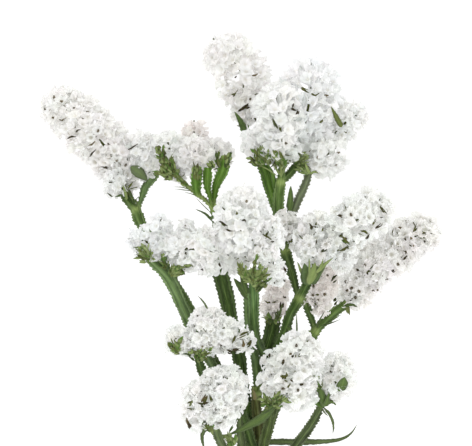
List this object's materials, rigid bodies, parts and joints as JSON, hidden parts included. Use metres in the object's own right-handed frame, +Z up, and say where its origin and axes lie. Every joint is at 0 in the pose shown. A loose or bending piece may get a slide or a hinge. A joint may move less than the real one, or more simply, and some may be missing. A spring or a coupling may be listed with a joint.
{
  "type": "dried statice stem",
  "caption": "Cut, branching stem of dried white statice with winged green stems and spikes of papery flower cups, lying on a flat surface.",
  "frame": {"origin": "on the surface that the plant lies on, under the middle of its bounding box", "axes": "+Z up, +Y from the cut end towards the flowers, +X to the right of someone who looks down with the flowers at the top"},
  "size_m": [0.2485, 0.3391, 0.1018],
  "materials": {
    "stem": "matt green, with paler grey-green wings",
    "leaf": "matt dark green",
    "flower": "papery white, slightly translucent"
  },
  "bodies": {
    "root": {"main_stem": "stem", "branch_far_left": "stem", "branch_far_left_fork": "stem", "branch_mid_left": "stem", "branch_upper_left": "stem", "branch_upper_left_middle": "stem", "branch_upper_left_inner": "stem", "branch_right": "stem", "branch_top_right": "stem", "branch_top_right_outer": "stem", "branch_top_right_inner": "stem", "branch_top": "stem", "branch_middle": "stem", "branch_centre": "stem", "branch_inner": "stem", "branch_far_right": "stem", "branch_far_right_inner": "stem", "branch_low_left_upper": "stem", "branch_low_left": "stem", "branch_low_right": "stem", "branch_low_right_outer": "stem", "leaf_base_right": "leaf", "leaf_low_right": "leaf", "leaf_low_left": "leaf", "leaf_low_cross": "leaf", "leaf_upper_left": "leaf", "leaf_centre": "leaf", "leaf_top_right": "leaf", "spike_far_left_long": "flower", "spike_far_left_inner": "flower", "spike_far_left_lower": "flower", "spike_upper_left_outer": "flower", "spike_upper_left_middle": "flower", "spike_upper_left_ball": "flower", "spike_upper_left_inner": "flower", "spike_top": "flower", "spike_top_right_left": "flower", "spike_top_right_middle": "flower", "spike_top_right_crown": "flower", "spike_top_right_outer": "flower", "spike_top_right_far": "flower", "spike_mid_left_outer": "flower", "spike_mid_left_long": "flower", "spike_centre_top": "flower", "spike_centre_right": "flower", "spike_centre_low": "flower", "spike_middle": "flower", "spike_right_upright": "flower", "spike_right_long": "flower", "spike_far_right_long": "flower", "spike_far_right_inner": "flower", "spike_inner": "flower", "spike_low_left_small": "flower", "spike_low_left_upright": "flower", "spike_low_left_inner": "flower", "spike_low_outer": "flower", "spike_low_upright": "flower", "spike_low_right_inner": "flower", "spike_low_right_upright": "flower", "spike_low_right_outer": "flower"}
  },
  "joints": []
}
